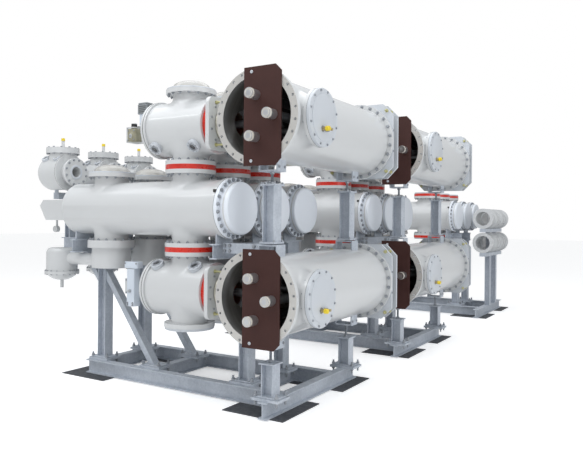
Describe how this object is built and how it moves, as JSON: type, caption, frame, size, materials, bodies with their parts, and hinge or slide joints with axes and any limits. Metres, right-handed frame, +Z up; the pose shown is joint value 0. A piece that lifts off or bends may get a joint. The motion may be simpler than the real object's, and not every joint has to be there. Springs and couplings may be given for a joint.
{
  "type": "gas-insulated switchgear",
  "caption": "Double busbar gas-insulated switchgear row with breakers, disconnectors, bus tanks and skids, under assembly.",
  "frame": {"origin": "on the floor at the centre of the row's footprint", "axes": "+Z up; +Y along the busbars from the open front flange to the next bays; +X to the busbar side, away from the breakers"},
  "size_m": [3.978, 9.575, 3.288],
  "materials": {
    "tank_paint": "gloss light grey enamel",
    "galvanised": "hot dip galvanised, matt",
    "passivated_steel": "yellow passivated zinc",
    "bellows_steel": "satin stainless",
    "red_epoxy": "red cast resin",
    "insulator_resin": "cast epoxy",
    "conductor": "machined aluminium",
    "shaft_steel": "turned steel",
    "brown_board": "dark brown laminate",
    "dust_cover_film": "clear moulded cover",
    "mat_rubber": "matt rubber sheet"
  },
  "bodies": {
    "switchgear": {"access_port_covers": "tank_paint", "branch_bellows": "bellows_steel", "branch_square_flanges": "tank_paint", "breaker_contact_sleeves": "conductor", "breaker_drives": "tank_paint", "breaker_end_covers": "tank_paint", "breaker_fixed_contacts": "conductor", "breaker_tanks_bay_1": "tank_paint", "breaker_tanks_bay_2": "tank_paint", "breaker_tanks_bay_3": "tank_paint", "bus_conductors": "conductor", "bus_insulators": "insulator_resin", "busbar_stands": "galvanised", "compensator_bellows": "bellows_steel", "compensator_plates": "tank_paint", "contact_blocks": "conductor", "duct_pieces": "tank_paint", "duct_stand": "galvanised", "dust_covers": "dust_cover_film", "end_covers": "tank_paint", "end_spacer_rings": "red_epoxy", "floor_mats": "mat_rubber", "gas_valves": "passivated_steel", "gear_housings": "tank_paint", "jack_screws": "galvanised", "line_stubs": "tank_paint", "lower_busbar_tank_bay_1": "tank_paint", "lower_busbar_tank_bay_2": "tank_paint", "lower_disconnector_tanks_bay_1": "tank_paint", "lower_disconnector_tanks_bay_2": "tank_paint", "lower_line_tanks": "tank_paint", "motor_drives": "tank_paint", "neck_spacer_rings": "red_epoxy", "post_insulators": "insulator_resin", "skid_bay_1": "galvanised", "skid_bay_2": "galvanised", "skid_bay_3": "galvanised", "sleeve_supports": "insulator_resin", "support_frame_bay_1": "galvanised", "support_frame_bay_2": "galvanised", "support_frame_bay_3": "galvanised", "tie_rods": "passivated_steel", "transport_boards": "brown_board", "upper_busbar_tank_bay_1": "tank_paint", "upper_busbar_tank_bay_2": "tank_paint", "upper_disconnector_tanks_bay_1": "tank_paint", "upper_disconnector_tanks_bay_2": "tank_paint", "upper_line_tanks": "tank_paint", "viewports": "tank_paint"},
    "breaker_moving_contacts_set_1": {"breaker_moving_contacts_bay_1": "conductor"},
    "breaker_moving_contacts_set_2": {"breaker_moving_contacts_bay_2": "conductor"},
    "breaker_moving_contacts_set_3": {"breaker_moving_contacts_bay_3": "conductor"},
    "lower_contact_rods_set_1": {"lower_contact_rods_bay_1": "conductor"},
    "lower_contact_rods_set_2": {"lower_contact_rods_bay_2": "conductor"},
    "lower_cross_shaft_set_1": {"lower_cross_shaft_bay_1": "shaft_steel"},
    "lower_cross_shaft_set_2": {"lower_cross_shaft_bay_2": "shaft_steel"},
    "upper_contact_rods_set_1": {"upper_contact_rods_bay_1": "conductor"},
    "upper_contact_rods_set_2": {"upper_contact_rods_bay_2": "conductor"},
    "upper_cross_shaft_set_1": {"upper_cross_shaft_bay_1": "shaft_steel"},
    "upper_cross_shaft_set_2": {"upper_cross_shaft_bay_2": "shaft_steel"}
  },
  "joints": [
    {"name": "upper_shaft_turn_1", "type": "hinge", "parent": "switchgear", "child": "upper_cross_shaft_set_1", "pos_m": [-0.317, -4.3215, 2.745], "axis": [0, 1, 0], "range_deg": [0, 246.96]},
    {"name": "upper_rods_slide_1", "type": "slide", "parent": "switchgear", "child": "upper_contact_rods_set_1", "axis": [1, 0, 0], "range_m": [0, 0.15]},
    {"name": "lower_shaft_turn_1", "type": "hinge", "parent": "switchgear", "child": "lower_cross_shaft_set_1", "pos_m": [-0.317, -4.3215, 1.089], "axis": [0, 1, 0], "range_deg": [0, 246.96]},
    {"name": "lower_rods_slide_1", "type": "slide", "parent": "switchgear", "child": "lower_contact_rods_set_1", "axis": [1, 0, 0], "range_m": [0, 0.15]},
    {"name": "upper_shaft_turn_2", "type": "hinge", "parent": "switchgear", "child": "upper_cross_shaft_set_2", "pos_m": [-0.317, -1.1215, 2.745], "axis": [0, 1, 0], "range_deg": [0, 246.96]},
    {"name": "upper_rods_slide_2", "type": "slide", "parent": "switchgear", "child": "upper_contact_rods_set_2", "axis": [1, 0, 0], "range_m": [0, 0.15]},
    {"name": "lower_shaft_turn_2", "type": "hinge", "parent": "switchgear", "child": "lower_cross_shaft_set_2", "pos_m": [-0.317, -1.1215, 1.089], "axis": [0, 1, 0], "range_deg": [0, 246.96]},
    {"name": "lower_rods_slide_2", "type": "slide", "parent": "switchgear", "child": "lower_contact_rods_set_2", "axis": [1, 0, 0], "range_m": [0, 0.15]},
    {"name": "breaker_contacts_slide_1", "type": "slide", "parent": "switchgear", "child": "breaker_moving_contacts_set_1", "axis": [1, 0, 0], "range_m": [0, 0.16]},
    {"name": "breaker_contacts_slide_2", "type": "slide", "parent": "switchgear", "child": "breaker_moving_contacts_set_2", "axis": [1, 0, 0], "range_m": [0, 0.16]},
    {"name": "breaker_contacts_slide_3", "type": "slide", "parent": "switchgear", "child": "breaker_moving_contacts_set_3", "axis": [1, 0, 0], "range_m": [0, 0.16]}
  ],
  "couplings": [
    {"joint": "upper_rods_slide_1", "follows": "upper_shaft_turn_1", "m_per_rad": 0.0348},
    {"joint": "lower_rods_slide_1", "follows": "lower_shaft_turn_1", "m_per_rad": 0.0348},
    {"joint": "upper_rods_slide_2", "follows": "upper_shaft_turn_2", "m_per_rad": 0.0348},
    {"joint": "lower_rods_slide_2", "follows": "lower_shaft_turn_2", "m_per_rad": 0.0348}
  ]
}
